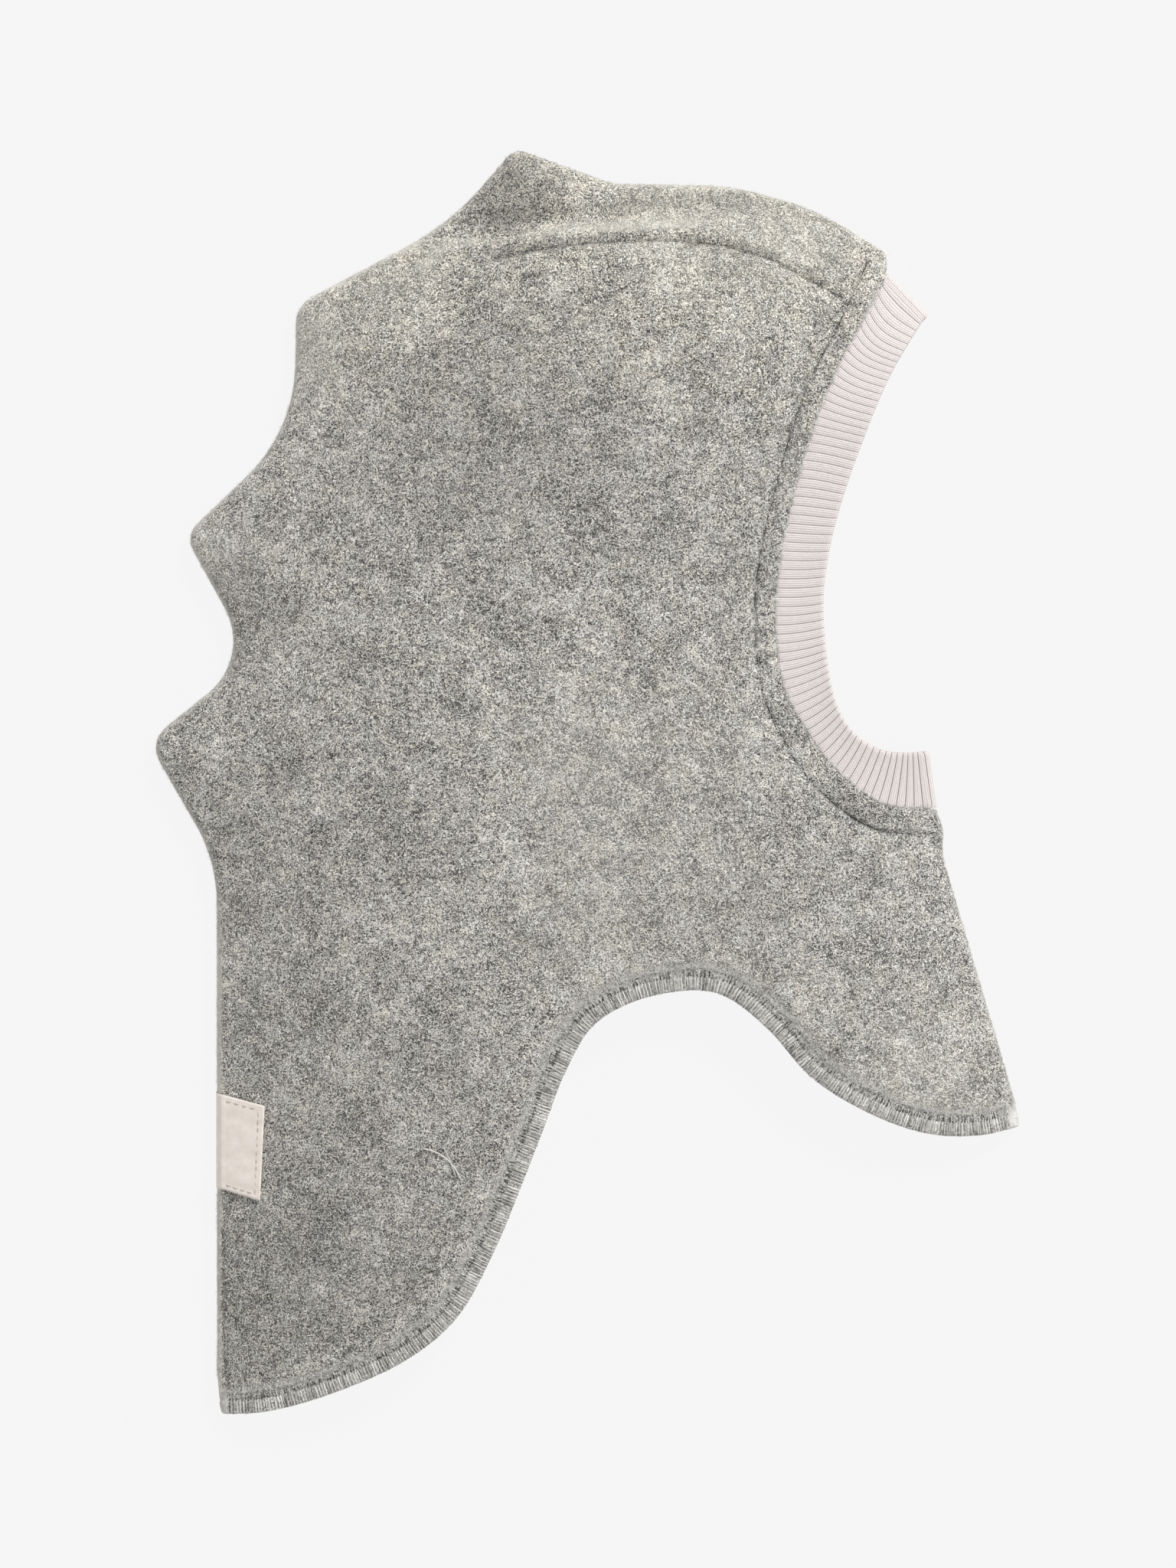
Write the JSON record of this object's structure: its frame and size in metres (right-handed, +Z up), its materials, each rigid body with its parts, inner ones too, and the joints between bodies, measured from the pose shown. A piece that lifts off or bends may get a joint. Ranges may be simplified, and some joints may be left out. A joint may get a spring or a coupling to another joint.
{
  "type": "baby hood",
  "caption": "Pull-on fleece hood lying flat, with soft spikes over the crown and nape, a ribbed face band, an overlocked hem and long front and back flaps.",
  "frame": {"origin": "the middle of the lying hood's outline, on the surface that it lies on", "axes": "+X towards the face opening, +Y towards the crown, +Z up from the surface through the two layers of cloth"},
  "size_m": [0.254, 0.371, 0.0189],
  "materials": {
    "fleece": "brushed grey melange wool fleece, matt and hairy",
    "rib_knit": "fine one-by-one rib knit, pale pinkish beige",
    "overlock_thread": "dense grey overlock stitching over the cut fleece edge",
    "label_cloth": "woven cream label cloth with a slight sheen, bare"
  },
  "bodies": {
    "root": {"shell_right": "fleece", "shell_left": "fleece", "face_band": "rib_knit", "hem_overlock": "overlock_thread", "label": "label_cloth"}
  },
  "joints": []
}
